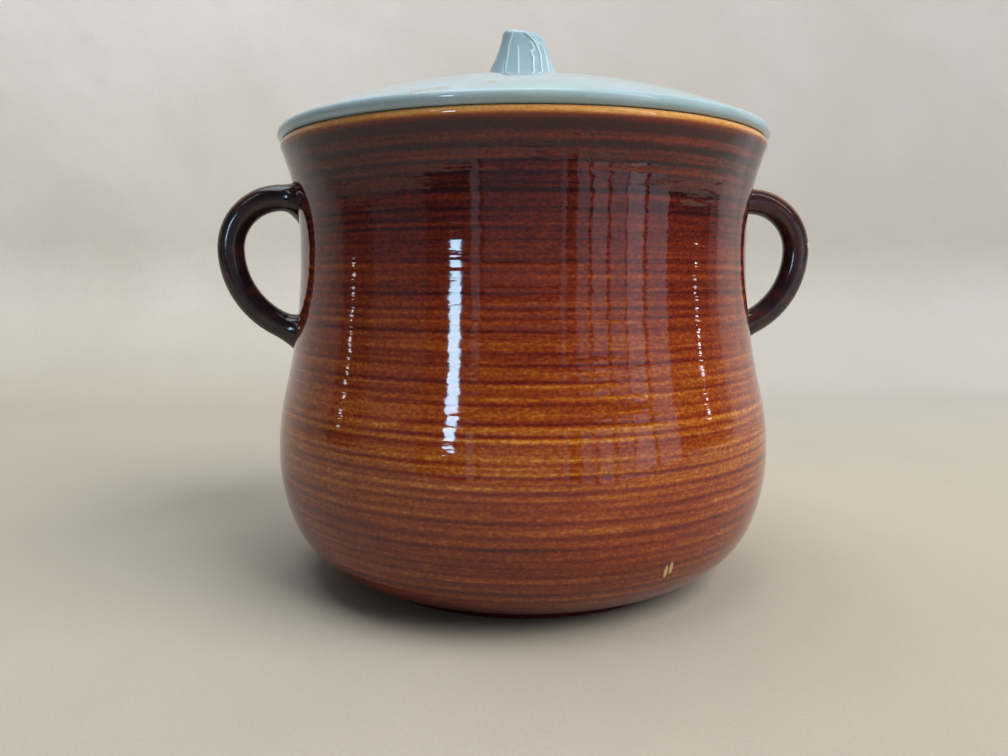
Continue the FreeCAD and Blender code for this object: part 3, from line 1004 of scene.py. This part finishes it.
def pale_cloth():
    """Matt cloth: a warm floor that turns paler up the backdrop, with faint soft creases."""
    m = Nodes("pale_cloth")
    x, y, z = m.axes()
    colour = m.ramp(m.span(z, 0.0, 0.5, smooth=False), [
        (0.0, (0.405, 0.367, 0.312)),
        (0.2, (0.58, 0.555, 0.515)),
        (1.0, (0.76, 0.752, 0.738)),
    ])
    # Painted shade: darker towards the right and the back, evening out the key lamp's light on the
    # backdrop.
    painted_shade = m.maths("MULTIPLY", m.span(x, -0.5, 0.7), m.span(y, 0.1, 0.6))
    colour = m.mix(m.maths("MULTIPLY", painted_shade, 0.75), colour, (0.40, 0.392, 0.380))
    soft = m.spread(m.noise((7, 7, 7), detail=3.0), 0.0, 0.16, smooth=True)
    colour = m.mix(soft, colour, (0.34, 0.31, 0.26))
    weave = m.spread(m.noise((700, 700, 700), detail=3.0), 0.0, 0.18, smooth=True)
    colour = m.mix(weave, colour, (0.30, 0.27, 0.22))
    m.set(Base_Color=colour, Roughness=0.95)
    m.set(Normal=m.bump(m.noise((9, 9, 9), detail=3.0), 12 * MM, 0.25))
    return m.material


def stage_piece(name, outline, material):
    """Part of the stage: a strip as wide as the stage along an outline of (Y, Z)."""
    points = [(x, y, z) for y, z in outline for x in (-STAGE_HALF_WIDTH, STAGE_HALF_WIDTH)]
    faces = [(2 * i, 2 * i + 1, 2 * i + 3, 2 * i + 2) for i in range(len(outline) - 1)]
    mesh = bpy.data.meshes.new(name)
    mesh.from_pydata(points, [], faces)
    mesh.polygons.foreach_set("use_smooth", [True] * len(faces))
    piece = bpy.data.objects.new(name, mesh)
    bpy.context.scene.collection.objects.link(piece)
    piece.data.materials.append(material)
    return piece


def make_stage():
    """Pale floor that sweeps up into a pale backdrop.

    The table in the photograph ends just behind the camera, and the glaze mirrors
    the dark room beyond it, so the floor in front of that edge isn't mirrored.
    """
    cloth = pale_cloth()
    outline = [(TABLE_EDGE, 0.0)]
    for i in range(BEND_STEPS + 1):
        place = polar((BACKDROP_START, BACKDROP_BEND), BACKDROP_BEND, -90 + 90 * i / BEND_STEPS)
        outline.append(place)
    outline.append((BACKDROP_START + BACKDROP_BEND, BACKDROP_TOP))
    stage_piece("floor", outline, cloth)
    near = stage_piece("floor_near", [(STAGE_NEAR, 0.0), (TABLE_EDGE, 0.0)], cloth)
    near.visible_glossy = False


def lamp(name, azimuth, elevation, distance, width, height, radiance, colour, lights):
    """Soft panel that faces the pot.

    lights is what it falls on: both, only the matt share of a surface or only its gloss.
    """
    data = bpy.data.lights.new(name, "AREA")
    data.shape = "RECTANGLE"
    data.size, data.size_y = width, height
    data.energy = radiance * math.pi * width * height
    data.color = colour
    obj = bpy.data.objects.new(name, data)
    bpy.context.scene.collection.objects.link(obj)
    a = math.radians(azimuth - POT_TURN)
    e = math.radians(elevation)
    back = Vector((math.sin(a) * math.cos(e), -math.cos(a) * math.cos(e), math.sin(e)))
    obj.location = Vector(LAMP_TARGET) + back * distance
    obj.rotation_euler = back.to_track_quat("Z", "Y").to_euler()
    obj.visible_camera = False
    obj.visible_glossy = lights != "matt"
    obj.visible_diffuse = lights != "gloss"


def make_lights():
    world = bpy.data.worlds.new("world")
    world.use_nodes = True
    tree = world.node_tree
    room = tree.nodes["Background"]
    room.inputs["Color"].default_value = ROOM_COLOUR
    room.inputs["Strength"].default_value = ROOM_STRENGTH
    pale = tree.nodes.new("ShaderNodeBackground")
    pale.inputs["Color"].default_value = PALE_COLOUR
    pick = tree.nodes.new("ShaderNodeMixShader")
    tree.links.new(tree.nodes.new("ShaderNodeLightPath").outputs["Is Camera Ray"], pick.inputs[0])
    tree.links.new(room.outputs[0], pick.inputs[1])
    tree.links.new(pale.outputs[0], pick.inputs[2])
    tree.links.new(pick.outputs[0], tree.nodes["World Output"].inputs["Surface"])
    bpy.context.scene.world = world
    for row in LAMPS:
        lamp(*row)
    for azimuth, radiance in GLINT_SIDES:
        for elevation, height in GLINTS:
            name = "glint_%d_%d" % (azimuth, elevation)
            lamp(name, azimuth, elevation, GLINT_DISTANCE, GLINT_WIDTH, height, radiance, WHITE, "gloss")


make_camera()
make_pot()
make_handle("handle_left", -1)
make_handle("handle_right", 1)
make_lid()
make_knob()
make_stage()
make_lights()
bpy.context.scene.view_settings.view_transform = "Standard"
